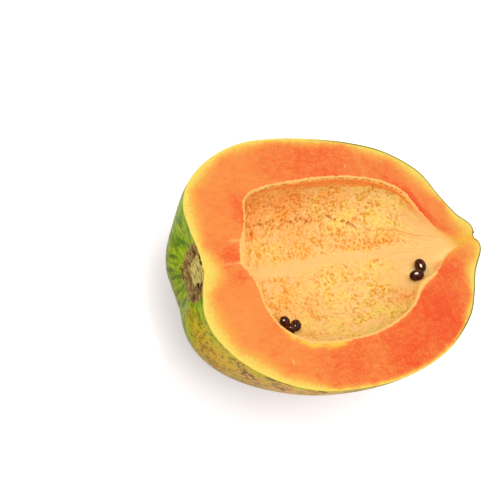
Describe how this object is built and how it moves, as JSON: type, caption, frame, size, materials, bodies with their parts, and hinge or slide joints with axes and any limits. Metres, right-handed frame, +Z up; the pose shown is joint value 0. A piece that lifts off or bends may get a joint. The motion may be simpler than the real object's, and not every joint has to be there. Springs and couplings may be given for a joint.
{
  "type": "papaya half",
  "caption": "Half of a ripe papaya lying on its round back, with an open seed cavity, a few dark seeds, orange flesh and a green and yellow rind.",
  "frame": {"origin": "on the surface that the half lies on, below the middle of its outline", "axes": "+X from the stem scar to the blossom tip, +Y across the cut face, +Z up out of the cut face"},
  "size_m": [0.1414, 0.1036, 0.0505],
  "materials": {
    "papaya": "moist cut flesh, orange to red-orange with a paler seed cavity; glossy green, yellow and orange rind; glossy dark brown seeds"
  },
  "bodies": {
    "root": {"papaya_half": "papaya"}
  },
  "joints": []
}
